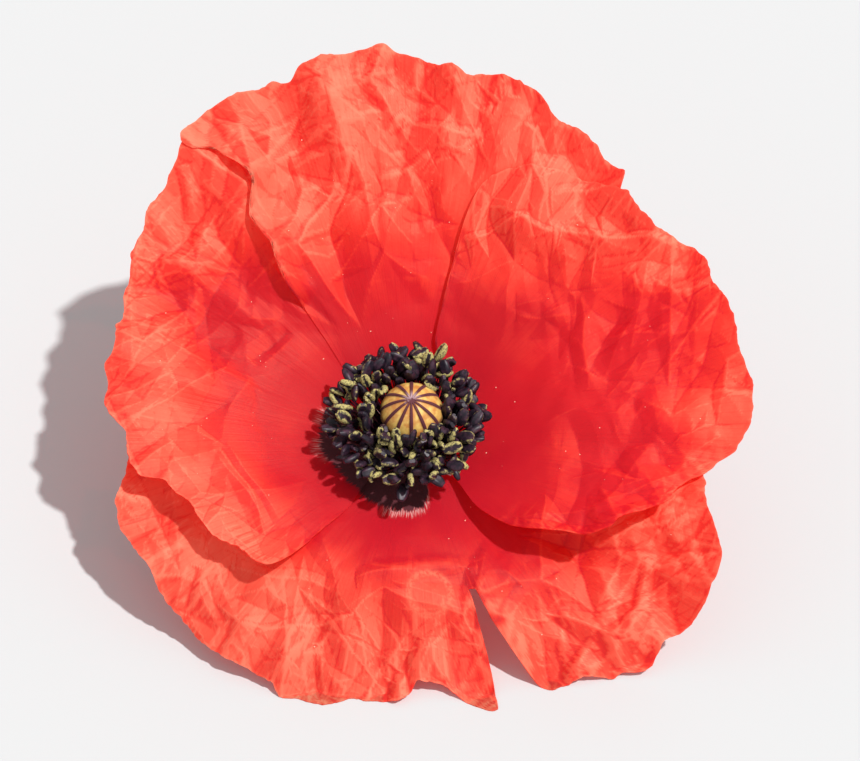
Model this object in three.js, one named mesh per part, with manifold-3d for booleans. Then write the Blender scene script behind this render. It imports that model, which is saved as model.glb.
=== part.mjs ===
// A field poppy bloom, picked with a short length of its stalk and laid down face up.
// Millimetres, +Z up. The origin is the middle of the ground that the bloom covers.
//
// The bloom grows round its own axis, which leans forward (-Y) from upright. Everything but the stalk is
// worked out in the bloom's frame: its origin is the middle of the receptacle's top, +Z runs up the axis,
// and azimuth 0 is +X, 90 is the back (+Y). The petals stand for tissue, so they are sheets of one thickness.
import * as THREE from "three";
import { mergeVertices } from "three/addons/utils/BufferGeometryUtils.js";
import Module from "manifold-3d";

const wasm = await Module();
wasm.setup();

// Driving dimensions.
const lean = THREE.MathUtils.degToRad(18); // the bloom's axis from upright
const seat = new THREE.Vector3(-2.1, -0.9, 12.4); // the receptacle's top above the ground
const petalThickness = 0.6;
const clearance = 0.35; // between pieces that lie on each other
const layerRise = 1.2; // a petal's rise over the one that it overlaps
const clawRadius = 2.7; // where a petal begins, round the ovary
const clawHalfWidth = 42; // degrees
const outerRadius = 36; // where the petals' outer heights are given

const colours = {
  petal: 0xe8322a,
  stamen: 0x1f1a26,
  pistil: 0xc9a24e,
  stalk: 0x6f8a45,
};

// ---------------------------------------------------------------------------------------------- helpers

// The same random numbers on every run.
function randomFrom(seed) {
  let state = seed;
  return () => {
    state = (state * 1664525 + 1013904223) % 4294967296;
    return state / 4294967296;
  };
}

function ease(low, high, x) {
  const t = THREE.MathUtils.clamp((x - low) / (high - low), 0, 1);
  return t * t * (3 - 2 * t);
}

// A smooth curve through points [x, y] that never swings past them.
function curveThrough(points) {
  const x = points.map((p) => p[0]);
  const y = points.map((p) => p[1]);
  const last = x.length - 1;
  const slope = x.slice(0, last).map((_, i) => (y[i + 1] - y[i]) / (x[i + 1] - x[i]));
  const tangent = x.map((_, i) => {
    if (i === 0 || i === last) return slope[Math.min(i, last - 1)];
    const product = slope[i - 1] * slope[i];
    return product <= 0 ? 0 : (2 * product) / (slope[i - 1] + slope[i]);
  });
  return (at) => {
    if (at <= x[0]) return y[0];
    if (at >= x[last]) return y[last];
    let i = 0;
    while (at > x[i + 1]) i += 1;
    const width = x[i + 1] - x[i];
    const t = (at - x[i]) / width;
    const rest = 1 - t;
    return (
      y[i] * (1 + 2 * t) * rest * rest +
      y[i + 1] * (3 - 2 * t) * t * t +
      tangent[i] * width * t * rest * rest -
      tangent[i + 1] * width * rest * t * t
    );
  };
}

function toSolid(geometry) {
  const merged = mergeVertices(geometry, 1e-4);
  return new wasm.Manifold(
    new wasm.Mesh({
      numProp: 3,
      vertProperties: merged.attributes.position.array,
      triVerts: new Uint32Array(merged.index.array),
    }),
  );
}

function toGeometry(solid) {
  const mesh = solid.getMesh();
  return new THREE.BufferGeometry()
    .setAttribute("position", new THREE.BufferAttribute(mesh.vertProperties, 3))
    .setIndex(new THREE.BufferAttribute(mesh.triVerts, 1));
}

function geometryOf(vertices, triangles) {
  const flat = vertices.flatMap((v) => [v.x, v.y, v.z]);
  return new THREE.BufferGeometry()
    .setAttribute("position", new THREE.Float32BufferAttribute(flat, 3))
    .setIndex(triangles);
}

// A closed tube along points, with a half width and a half depth at each. sideways points along the width.
function tube(points, widths, depths, sides, sideways) {
  const vertices = [];
  const triangles = [];
  points.forEach((point, i) => {
    const ahead = points[Math.min(i + 1, points.length - 1)];
    const behind = points[Math.max(i - 1, 0)];
    const along = new THREE.Vector3().subVectors(ahead, behind).normalize();
    const across = sideways.clone().addScaledVector(along, -sideways.dot(along)).normalize();
    const up = new THREE.Vector3().crossVectors(along, across);
    for (let k = 0; k < sides; k++) {
      const turn = (k / sides) * 2 * Math.PI;
      vertices.push(
        point
          .clone()
          .addScaledVector(across, widths[i] * Math.cos(turn))
          .addScaledVector(up, depths[i] * Math.sin(turn)),
      );
    }
  });
  for (let i = 0; i + 1 < points.length; i++) {
    for (let k = 0; k < sides; k++) {
      const a = i * sides + k;
      const b = i * sides + ((k + 1) % sides);
      triangles.push(a, b, b + sides, a, b + sides, a + sides);
    }
  }
  const end = (points.length - 1) * sides;
  for (let k = 1; k + 1 < sides; k++) {
    triangles.push(0, k + 1, k, end, end + k, end + k + 1);
  }
  return geometryOf(vertices, triangles);
}

// From the bloom's frame to the ground's.
const stand = new THREE.Matrix4().makeRotationX(lean).setPosition(seat);

function polar(azimuth, radius, height) {
  const turn = THREE.MathUtils.degToRad(azimuth);
  return new THREE.Vector3(radius * Math.cos(turn), radius * Math.sin(turn), height);
}

// ----------------------------------------------------------------------------------------------- petals

// A crease in the tissue: four flat facets that meet in a ridge, or in a valley if its height is negative.
function creaseHeight(crease, x, y) {
  const turn = THREE.MathUtils.degToRad(crease.turn);
  const along = (x - crease.x) * Math.cos(turn) + (y - crease.y) * Math.sin(turn);
  const across = (y - crease.y) * Math.cos(turn) - (x - crease.x) * Math.sin(turn);
  const inside = 1 - Math.abs(along) / crease.length - Math.abs(across) / crease.width;
  return inside > 0 ? crease.height * inside : 0;
}

// Creases left by the bud, where the tissue was packed: more of them and deeper towards the rim.
function budCreases(seed, count, length, width, height) {
  const random = randomFrom(seed);
  return Array.from({ length: count }, () => {
    const radius = 16 + 27 * Math.sqrt(random());
    const azimuth = 360 * random();
    const centre = polar(azimuth, radius, 0);
    return {
      x: centre.x,
      y: centre.y,
      turn: azimuth + 180 * (random() - 0.5),
      length: length * (0.7 + 0.8 * random()),
      width: width * (0.7 + 0.6 * random()),
      height: height * (0.4 + 0.8 * random()) * (random() < 0.5 ? -1 : 1) * ease(12, 32, radius),
    };
  });
}

const creases = budCreases(7, 110, 8, 4.6, 1.0);

// Soft pleats that run out to the rim: waves round it, each [waves, height, phase].
const pleats = [
  [11, 0.45, 0.6],
  [17, 0.4, 2.1],
  [29, 0.22, 4.0],
];

function tissueHeight(x, y) {
  const radius = Math.hypot(x, y);
  const turn = Math.atan2(y, x);
  let height = 0;
  for (const [waves, size, phase] of pleats) {
    height += size * Math.sin(waves * turn + phase) * ease(15, 38, radius);
  }
  for (const crease of creases) height += creaseHeight(crease, x, y);
  return height;
}

// Each list gives a value round the petal, [azimuth, value]: how far it reaches, how far out its hip lies,
// where the cup turns into the spread rim, its height there and at outerRadius, and how much of layerRise
// it has, from 0 where it lies under its neighbour to 1 where it lies over it. sway, [radius, degrees], moves
// the petal's last edge round, and curl, [radius, millimetres], lifts it.
const petals = [
  {
    name: "petal_front",
    claw: 270,
    reach: [
      [178, 33], [188, 35.1], [193.5, 36.7], [199.5, 37.4], [204.5, 36.6], [214.5, 36.1], [225, 35.7],
      [231, 35.4], [240, 34.8], [245, 35.5], [252, 35.5], [255, 34.5], [258, 33], [262, 32.9],
      [267, 33.1], [269.5, 32.3], [271.5, 30.6], [275, 30.7], [282, 33.8], [286.5, 36.4], [288.2, 30],
      [288.8, 21.7], [290.4, 21.9], [292, 25.5], [293.6, 28.6], [296, 32.8], [298.5, 35.6],
      [300, 35.7], [304, 35.9], [311, 38.4], [316.5, 40.5], [320, 40], [325, 41.1], [329, 41.6],
      [334, 41.2], [338.5, 38.8], [343, 36.8], [350, 35.3], [362, 33],
    ],
    hip: [[178, 20], [235, 20.5], [254, 19.2], [273, 17.8], [289, 18.8], [300, 20.8], [315, 24], [362, 22]],
    hipHeight: [
      [178, 4.4], [200, 4.9], [225, 5], [255, 5.4], [273, 5.2], [290, 4.8], [300, 3.6], [308, 2.4], [322, 2.2],
      [342, 4.6], [362, 5.4],
    ],
    outerHeight: [
      [178, 5.4], [190, 4.9], [200, 3.3], [213, 1.2], [235, -2.8], [255, -3.6], [275, -2.6],
      [287, -4], [300, -3.6], [312, -1.6], [322, 1], [330, 4.4], [338, 7.8], [346, 9.2], [362, 9.4],
    ],
    layer: [[178, 0], [362, 0]],
  },
  {
    name: "petal_left",
    claw: 180,
    reach: [
      [116, 36], [121, 40], [125, 42.2], [131, 42.7], [134, 41.8], [142, 41], [151, 39.3], [155, 38.8],
      [159, 37.6], [167, 37.1], [174, 37.3], [178, 37.2], [181, 36.2], [185, 34.4], [190, 34.7],
      [193.8, 33.6], [195.6, 31], [200, 29.8], [204.5, 28.6], [208, 28.8], [213, 28.1], [219, 26.6],
      [225, 26], [228, 25.2], [230, 21.5], [231.5, 14],
    ],
    hip: [[116, 19], [231.5, 19]],
    hipHeight: [[116, 8.6], [125, 8.2], [134, 7.6], [142, 7.1], [165, 6], [190, 5.8], [210, 5.8], [231.5, 5.2]],
    outerHeight: [
      [116, 17.6], [125, 16.2], [134, 14.4], [142, 12.9], [150, 11.9], [167, 11], [180, 10], [192, 9.6],
      [205, 9.6], [231.5, 8.4],
    ],
    layer: [[116, 0], [150, 0.3], [180, 1], [231.5, 1]],
  },
  {
    name: "petal_back",
    claw: 90,
    reach: [
      [34, 34], [39, 36.8], [45.5, 36.4], [48, 38.8], [51, 38.4], [55, 39.2], [58, 39.2], [63, 38.6],
      [67, 40], [71, 40.5], [76, 40.8], [80, 40], [84, 40.3], [88, 41.1], [93, 42.2], [95.2, 43.1],
      [98, 42.6], [104, 43], [109, 42.9], [111, 42.1], [114, 42.8], [118, 43.7], [125, 44.4],
      [129, 43.9], [132, 42.8], [133.5, 38], [134.5, 22],
    ],
    hip: [[34, 19], [134.5, 19]],
    hipHeight: [[34, 7.8], [50, 8.5], [76, 9.4], [95, 9.6], [116, 8.6], [125, 8.2], [134.5, 7.6]],
    outerHeight: [[34, 15.8], [50, 18], [70, 20.4], [90, 21.2], [106, 19.6], [116, 17.7], [125, 16.2], [134.5, 14.4]],
    layer: [[34, 0], [76, 0], [112, 1], [134.5, 1]],
    sway: [
      [12, 0], [13, -0.7], [17, -2.1], [20.5, -2.4], [22.2, -1.4], [25.3, -3], [27, -4.3], [30.7, -4],
      [32, -5], [33.8, -9.2], [35.2, -8.2], [37.7, -7], [40.2, -5.5], [41.4, -2.5], [44, 0],
    ],
    curl: [
      [19, 0], [21, 1.4], [22.2, 2.5], [25.3, 2.8], [27, 3.1], [29, 2.3], [30.7, 1.5],
      [32.4, 0.9], [34, 1.4], [35.6, 2.2], [37.7, 1.6], [40.2, 0.6], [45, 0.6],
    ],
  },
  {
    name: "petal_right",
    claw: 0,
    reach: [
      [-51, 13], [-49.5, 16], [-47.5, 18.6], [-44.5, 20.9], [-39, 24.3], [-33, 28.2], [-28.5, 29],
      [-22, 32.6], [-18, 33.3], [-15, 34.6], [-12.6, 36.3], [-9, 38.4], [-3.4, 40.7], [3.4, 41],
      [9, 40], [15, 40.3], [21, 39.3], [25, 39.8], [30, 38.7], [35, 36.7], [44, 36.6], [50, 35.9],
      [62, 33.1], [70, 30.6], [73, 28.7], [75.3, 24], [76.5, 14],
    ],
    hip: [[-51, 19], [76.5, 19]],
    hipHeight: [[-51, 6.4], [-42, 6.8], [-25, 6.8], [0, 7], [30, 7.9], [50, 8.6], [76.5, 9.5]],
    outerHeight: [
      [-51, 14.6], [-40, 15], [-33, 13.6], [-26, 11.4], [-15, 10.2], [-5, 10.6], [5, 11.6], [20, 14.4],
      [34, 16.1], [50, 18.3], [60, 19.7], [76.5, 21.2],
    ],
    layer: [[-51, 1], [76.5, 1]],
    curl: [[6, 0], [14, 0.5], [25, 0.6], [30, 0]],
  },
];

const hipSoftness = 2.2; // how gradually the cup turns over into the rim
const clawHeight = clearance + petalThickness / 2;
const cupStart = 4.4; // the claws lie flat on the receptacle up to here

// The height of a petal's middle surface, at a radius, for its values at one azimuth.
function cupHeight(radius, hip, hipHeight, outerHeight, layer) {
  const rise = hipHeight - clawHeight;
  const share = Math.max(0, (radius - cupStart) / (hip - cupStart));
  const innerSlope = (1.2 * rise) / (hip - cupStart);
  const inner = share < 1 ? rise * share ** 1.2 : rise + innerSlope * (radius - hip);
  const bend = (outerHeight - hipHeight) / (outerRadius - hip) - innerSlope;
  const past = radius - hip;
  const spread = (bend * (past + Math.hypot(past, hipSoftness))) / 2;
  return clawHeight + inner + spread * ease(cupStart, 12, radius) + layer * layerRise * ease(4.1, 6.3, radius);
}

const cupSteps = 6; // from the claw to the cup's edge
const rimSteps = 6; // from there to the outline
const cupEdge = 18.5;
const widestCell = 5.2; // degrees round the petal

// The radii of the points along a ray: the same on every ray inside the cup, so that a notch in the outline
// leaves the cup alone.
function rayRadii(reach) {
  const edge = Math.min(cupEdge, 0.85 * reach);
  const radii = [];
  for (let k = 0; k < cupSteps; k++) {
    radii.push(clawRadius + (edge - clawRadius) * (k / cupSteps) ** 1.15);
  }
  for (let k = 0; k <= rimSteps; k++) radii.push(edge + ((reach - edge) * k) / rimSteps);
  return radii;
}

// The azimuths of a petal's rays: one at each point of its outline, and more between those far apart.
function rayAzimuths(reach) {
  const azimuths = [];
  for (let i = 0; i + 1 < reach.length; i++) {
    const [from, to] = [reach[i][0], reach[i + 1][0]];
    const cells = Math.max(1, Math.round((to - from) / widestCell));
    for (let k = 0; k < cells; k++) azimuths.push(from + ((to - from) * k) / cells);
  }
  azimuths.push(reach.at(-1)[0]);
  return azimuths;
}

// A petal's middle surface in the ground's frame, for an azimuth on the blade and a radius. Where it would
// sink into the ground it lies flat on it.
function petalSurface(petal) {
  const hipAt = curveThrough(petal.hip);
  const hipHeightAt = curveThrough(petal.hipHeight);
  const outerHeightAt = curveThrough(petal.outerHeight);
  const layerAt = curveThrough(petal.layer);
  const swayAt = curveThrough(petal.sway ?? [[0, 0], [50, 0]]);
  const curlAt = curveThrough(petal.curl ?? [[0, 0], [50, 0]]);
  const first = petal.reach[0][0];
  const last = petal.reach.at(-1)[0];
  return (blade, radius) => {
    const side = (2 * (blade - first)) / (last - first) - 1;
    const claw = petal.claw + side * clawHalfWidth;
    const sway = swayAt(radius) * ease(last - 24, last, blade);
    const azimuth = claw + (blade - claw) * ease(5.2, 12.5, radius) + sway;
    const height = cupHeight(
      radius,
      hipAt(azimuth),
      hipHeightAt(azimuth),
      outerHeightAt(azimuth),
      layerAt(azimuth),
    );
    const point = polar(azimuth, radius, height);
    point.z += tissueHeight(point.x, point.y) + curlAt(radius) * ease(last - 9, last, blade);
    point.applyMatrix4(stand);
    point.z = Math.max(point.z, petalThickness / 2);
    return point;
  };
}

// The petal as a solid: a sheet of rays given its thickness, with the same triangles on both faces and a wall
// round the edge.
function petalGeometry(petal) {
  const surface = petalSurface(petal);
  const reachAt = curveThrough(petal.reach);
  const azimuths = rayAzimuths(petal.reach);
  const upper = [];
  const lower = [];
  for (const azimuth of azimuths) {
    for (const radius of rayRadii(reachAt(azimuth))) {
      const point = surface(azimuth, radius);
      const out = surface(azimuth, radius + 0.4).sub(surface(azimuth, radius - 0.4));
      const round = surface(azimuth + 0.8, radius).sub(surface(azimuth - 0.8, radius));
      const normal = out.cross(round).normalize();
      if (point.z === petalThickness / 2) normal.set(0, 0, 1);
      upper.push(point.clone().addScaledVector(normal, petalThickness / 2));
      lower.push(point.clone().addScaledVector(normal, -petalThickness / 2));
    }
  }
  for (const point of upper) point.z = Math.max(point.z, petalThickness);
  for (const point of lower) point.z = Math.max(point.z, 0);

  const rays = azimuths.length;
  const steps = upper.length / rays;
  const under = rays * steps;
  const triangles = [];
  for (let i = 0; i + 1 < rays; i++) {
    for (let j = 0; j + 1 < steps; j++) {
      const a = i * steps + j;
      const b = a + 1;
      const c = a + steps;
      const d = c + 1;
      triangles.push(a, b, d, a, d, c);
      triangles.push(under + a, under + d, under + b, under + a, under + c, under + d);
    }
  }
  const edge = [];
  for (let j = 0; j + 1 < steps; j++) edge.push(j);
  for (let i = 0; i + 1 < rays; i++) edge.push(i * steps + steps - 1);
  for (let j = steps - 1; j > 0; j--) edge.push((rays - 1) * steps + j);
  for (let i = rays - 1; i > 0; i--) edge.push(i * steps);
  edge.forEach((a, k) => {
    const b = edge[(k + 1) % edge.length];
    triangles.push(a, under + b, b, a, under + a, under + b);
  });
  return geometryOf([...upper, ...lower], triangles);
}

// ---------------------------------------------------------------------------------------------- stamens

// The anthers stand in whorls round the ovary, each on a thread-like filament. Thickened to print.
const stamenRing = { inner: 2.45, outer: 4.0, low: 1.4, high: 2.4 };
const whorls = [
  { count: 24, root: 2.9, radius: 5.0, height: 10.2, tilt: [5, 30], swing: 150 },
  { count: 30, root: 3.3, radius: 6.2, height: 9.9, tilt: [15, 70], swing: 100 },
  { count: 34, root: 3.7, radius: 7.6, height: 8.9, tilt: [35, 95], swing: 80 },
];
const anther = { length: 2.2, halfWidth: 0.62, halfDepth: 0.46 };
const filamentHalfWidth = 0.3;

function stamenGeometry(whorl, azimuth, random) {
  const [leastTilt, mostTilt] = whorl.tilt;
  const radius = whorl.radius + 0.9 * random();
  const height = whorl.height + 1.4 * (random() - 0.5);
  const tilt = THREE.MathUtils.degToRad(leastTilt + (mostTilt - leastTilt) * random());
  const swing = azimuth + 2 * whorl.swing * (random() - 0.5);
  const root = polar(azimuth, whorl.root, (stamenRing.low + stamenRing.high) / 2);
  const joint = polar(azimuth, radius, height);
  joint.x -= 0.08 * radius;
  const direction = polar(swing, Math.sin(tilt), Math.cos(tilt));
  const lying = (share) => joint.clone().addScaledVector(direction, anther.length * share);
  const points = [root, joint, lying(0.25), lying(0.75), lying(1)];
  const widths = [filamentHalfWidth, filamentHalfWidth, anther.halfWidth, anther.halfWidth, 0.2];
  const depths = [filamentHalfWidth, filamentHalfWidth, anther.halfDepth, anther.halfDepth, 0.16];
  return tube(points, widths, depths, 4, polar(azimuth + 90, 1, 0));
}

function stamensGeometry() {
  const { inner, outer, low, high } = stamenRing;
  const section = [
    [inner, low], [outer, low], [outer, (low + high) / 2], [outer - 0.5, high], [inner, high], [inner, low],
  ].map(([x, y]) => new THREE.Vector2(x, y));
  const ring = new THREE.LatheGeometry(section, 40).rotateX(Math.PI / 2);
  ring.deleteAttribute("normal");
  ring.deleteAttribute("uv");
  const random = randomFrom(23);
  const solids = [toSolid(ring)];
  for (const whorl of whorls) {
    const start = 360 * random();
    for (let k = 0; k < whorl.count; k++) {
      const azimuth = start + (360 * (k + 0.3 * (random() - 0.5))) / whorl.count;
      solids.push(toSolid(stamenGeometry(whorl, azimuth, random)));
    }
  }
  const joined = solids.reduce((sum, solid) => sum.add(solid));
  return toGeometry(joined).applyMatrix4(stand);
}

// ----------------------------------------------------------------------------------------------- pistil

// The ovary, a ribbed barrel, under its lid: a domed stigma disc with a raised ray over each chamber.
const rays = 12;
const stepsPerRay = 3;
const ovarySide = [
  [1.7, 0.3], [2.15, 1.5], [2.4, 3.2], [2.65, 5.4], [2.7, 7.4], [2.4, 8.9], [2.5, 9.5],
];
const discRim = [[3.5, 9.8], [3.65, 10.2]];
const discTop = [[3.4, 10.8], [2.75, 11.7], [1.8, 12.5], [0.85, 13.0]];
const apexHeight = 13.2;
const rayRise = 0.28;

function pistilGeometry() {
  const around = rays * stepsPerRay;
  const rings = [...ovarySide, ...discRim, ...discTop];
  const vertices = [];
  rings.forEach(([radius, height], i) => {
    const onDisc = i >= ovarySide.length;
    const onTop = i >= ovarySide.length + discRim.length;
    for (let k = 0; k < around; k++) {
      const part = (k % stepsPerRay) / stepsPerRay;
      const lobe = Math.sin(Math.PI * part);
      const widened = radius * (1 + (onDisc ? 0.05 * lobe : -0.02 * lobe));
      const raised = onTop && part === 0 ? rayRise : 0;
      vertices.push(polar((360 * k) / around, widened, height + raised));
    }
  });
  const triangles = [];
  for (let i = 0; i + 1 < rings.length; i++) {
    for (let k = 0; k < around; k++) {
      const a = i * around + k;
      const b = i * around + ((k + 1) % around);
      triangles.push(a, b, b + around, a, b + around, a + around);
    }
  }
  const foot = vertices.push(polar(0, 0, ovarySide[0][1])) - 1;
  const apex = vertices.push(polar(0, 0, apexHeight)) - 1;
  const top = (rings.length - 1) * around;
  for (let k = 0; k < around; k++) {
    const next = (k + 1) % around;
    triangles.push(foot, next, k, apex, top + k, top + next);
  }
  return geometryOf(vertices, triangles).applyMatrix4(stand);
}

// ------------------------------------------------------------------------------------------------ stalk

// From the receptacle's disc, which carries every other piece, down to the ground and back along it.
const stalkRadius = 1.0;
const stalkEnd = new THREE.Vector3(-1.4, 27, stalkRadius);
const receptacle = { radius: 4.3, thickness: 0.9, neck: 2.6 };

function stalkGeometry() {
  const down = new THREE.Vector3(0, 0, -1).transformDirection(stand);
  const bend = seat.clone().addScaledVector(down, 8.2);
  const lyingFrom = new THREE.Vector3(seat.x, seat.y + 12, stalkRadius);
  const neckEnd = seat.clone().addScaledVector(down, receptacle.neck);
  const path = new THREE.CubicBezierCurve3(neckEnd, bend, lyingFrom, stalkEnd);
  const head = [
    [0, receptacle.radius - 0.2],
    [receptacle.thickness * 0.4, receptacle.radius],
    [receptacle.thickness, receptacle.radius - 0.5],
    [receptacle.thickness + 0.7, 1.7],
  ];
  const points = head.map(([depth]) => seat.clone().addScaledVector(down, depth));
  const radii = head.map(([, radius]) => radius);
  for (const point of path.getPoints(16)) {
    points.push(point);
    radii.push(stalkRadius);
  }
  return tube(points, radii, radii, 12, new THREE.Vector3(1, 0, 0));
}

// -------------------------------------------------------------------------------------------- assembly

function piece(name, geometry, colour, roughness) {
  const material = new THREE.MeshStandardMaterial({ color: colour, roughness, metalness: 0 });
  const mesh = new THREE.Mesh(geometry, material);
  mesh.name = name;
  return mesh;
}

const bloom = new THREE.Group();
bloom.name = "poppy_bloom";
bloom.add(piece("stalk", stalkGeometry(), colours.stalk, 0.7));
for (const petal of petals) {
  bloom.add(piece(petal.name, petalGeometry(petal), colours.petal, 0.55));
}
bloom.add(piece("stamens", stamensGeometry(), colours.stamen, 0.6));
bloom.add(piece("pistil", pistilGeometry(), colours.pistil, 0.6));

export default bloom;
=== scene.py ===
# A field poppy bloom, picked with a short length of its stalk and laid down face up.
#
# Each piece is worked out in millimetres in the bloom's own frame: its origin is the middle of the
# receptacle's top, +Z runs up the bloom's axis, azimuth 0 is +X and 90 is the back. toGround() then leans the
# bloom forward and seats it, in metres.
import math

import bpy
import numpy as np
from mathutils import Matrix, Vector
from mathutils.bvhtree import BVHTree
from mathutils.geometry import delaunay_2d_cdt


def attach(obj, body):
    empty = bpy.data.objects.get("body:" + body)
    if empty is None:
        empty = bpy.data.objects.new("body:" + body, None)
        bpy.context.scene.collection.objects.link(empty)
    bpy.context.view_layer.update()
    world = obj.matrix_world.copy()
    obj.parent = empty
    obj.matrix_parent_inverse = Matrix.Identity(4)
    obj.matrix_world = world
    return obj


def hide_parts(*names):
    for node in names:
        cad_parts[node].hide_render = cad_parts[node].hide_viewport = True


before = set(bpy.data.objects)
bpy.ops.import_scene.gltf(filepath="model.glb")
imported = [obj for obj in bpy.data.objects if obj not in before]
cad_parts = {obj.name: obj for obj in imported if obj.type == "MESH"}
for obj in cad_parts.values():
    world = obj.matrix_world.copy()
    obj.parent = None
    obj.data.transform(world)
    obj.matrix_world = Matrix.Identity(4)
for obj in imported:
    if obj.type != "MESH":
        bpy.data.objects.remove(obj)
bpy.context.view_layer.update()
print("loaded the frame with", len(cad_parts), "nodes")

bloomPlace = {
    "lean": math.radians(18),  # the bloom's axis from upright
    "seat": (-2.1, -0.9, 12.4),  # the receptacle's top above the ground
}
leanTurn = np.array(Matrix.Rotation(bloomPlace["lean"], 3, "X"))


def toGround(points):
    return (np.asarray(points) @ leanTurn.T + bloomPlace["seat"]) / 1000


def polar(azimuth, radius, height):
    turn = math.radians(azimuth)
    return np.array([radius * math.cos(turn), radius * math.sin(turn), height])


def ease(low, high, x):
    t = np.clip((x - low) / (high - low), 0, 1)
    return t * t * (3 - 2 * t)


def randomFrom(seed):  # the same random numbers on every run
    state = seed

    def draw():
        nonlocal state
        state = (state * 1664525 + 1013904223) % 4294967296
        return state / 4294967296

    return draw


def curveThrough(points):  # a smooth curve through points (x, y) that never swings past them
    x, y = (np.array(side, float) for side in zip(*points))
    slope = np.diff(y) / np.diff(x)
    product = slope[:-1] * slope[1:]
    total = np.where(slope[:-1] + slope[1:] == 0, 1, slope[:-1] + slope[1:])
    middle = np.where(product <= 0, 0, 2 * product / total)
    tangent = np.concatenate([slope[:1], middle, slope[-1:]])

    def at(value):
        value = np.clip(value, x[0], x[-1])
        i = np.clip(np.searchsorted(x, value, side="left") - 1, 0, len(x) - 2)
        width = x[i + 1] - x[i]
        t = (value - x[i]) / width
        rest = 1 - t
        return (
            y[i] * (1 + 2 * t) * rest * rest
            + y[i + 1] * (3 - 2 * t) * t * t
            + tangent[i] * width * t * rest * rest
            - tangent[i + 1] * width * rest * t * t
        )

    return at


def setValues(mesh, name, values):
    layer = mesh.attributes.new(name, "FLOAT", "POINT")
    layer.data.foreach_set("value", values.astype(np.float32))


def placePiece(name, mesh, material, replaced, sharpAngle):
    mesh.polygons.foreach_set("use_smooth", [True] * len(mesh.polygons))
    mesh.set_sharp_from_angle(angle=math.radians(sharpAngle))
    mesh.materials.append(material)
    mesh.update()
    piece = bpy.data.objects.new(name, mesh)
    bpy.context.scene.collection.objects.link(piece)
    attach(piece, "root")
    if replaced:
        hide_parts(replaced)


class Pieces:  # vertices, faces and values of one mesh, gathered shape by shape
    def __init__(self, *valueNames):
        self.points = []
        self.faces = []
        self.values = {name: [] for name in valueNames}
        self.count = 0

    def add(self, points, faces, **values):
        self.points.append(np.asarray(points, float))
        self.faces.extend(tuple(corner + self.count for corner in face) for face in faces)
        for name, gathered in self.values.items():
            gathered.append(np.broadcast_to(np.asarray(values[name], float), (len(points),)))
        self.count += len(points)

    def build(self, name, material, replaced=None):
        mesh = bpy.data.meshes.new(name)
        mesh.from_pydata(toGround(np.concatenate(self.points)).tolist(), [], self.faces)
        for valueName, gathered in self.values.items():
            setValues(mesh, valueName, np.concatenate(gathered))
        placePiece(name, mesh, material, replaced, sharpAngle=55)


def closedTube(rings, sides):  # the faces over rings of points, one ring after another, and their two ends
    faces = []
    for i in range(rings - 1):
        for k in range(sides):
            a, b = i * sides + k, i * sides + (k + 1) % sides
            faces.append((a, b, b + sides, a + sides))
    faces.append(tuple(reversed(range(sides))))
    faces.append(tuple(range((rings - 1) * sides, rings * sides)))
    return faces


def tubeShape(points, widths, depths, sides, sideways):  # a closed tube, with a half width and half depth
    points = np.asarray(points, float)
    along = np.gradient(points, axis=0)
    along /= np.linalg.norm(along, axis=1)[:, None]
    across = sideways - along * (along @ sideways)[:, None]
    across /= np.linalg.norm(across, axis=1)[:, None]
    up = np.cross(along, across)
    turn = np.arange(sides) * 2 * math.pi / sides
    ring = (
        across[:, None, :] * (np.asarray(widths)[:, None] * np.cos(turn))[:, :, None]
        + up[:, None, :] * (np.asarray(depths)[:, None] * np.sin(turn))[:, :, None]
    )
    return (points[:, None, :] + ring).reshape(-1, 3), closedTube(len(points), sides)


# Shader sockets with arithmetic: an expression on them adds its Math nodes.


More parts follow.
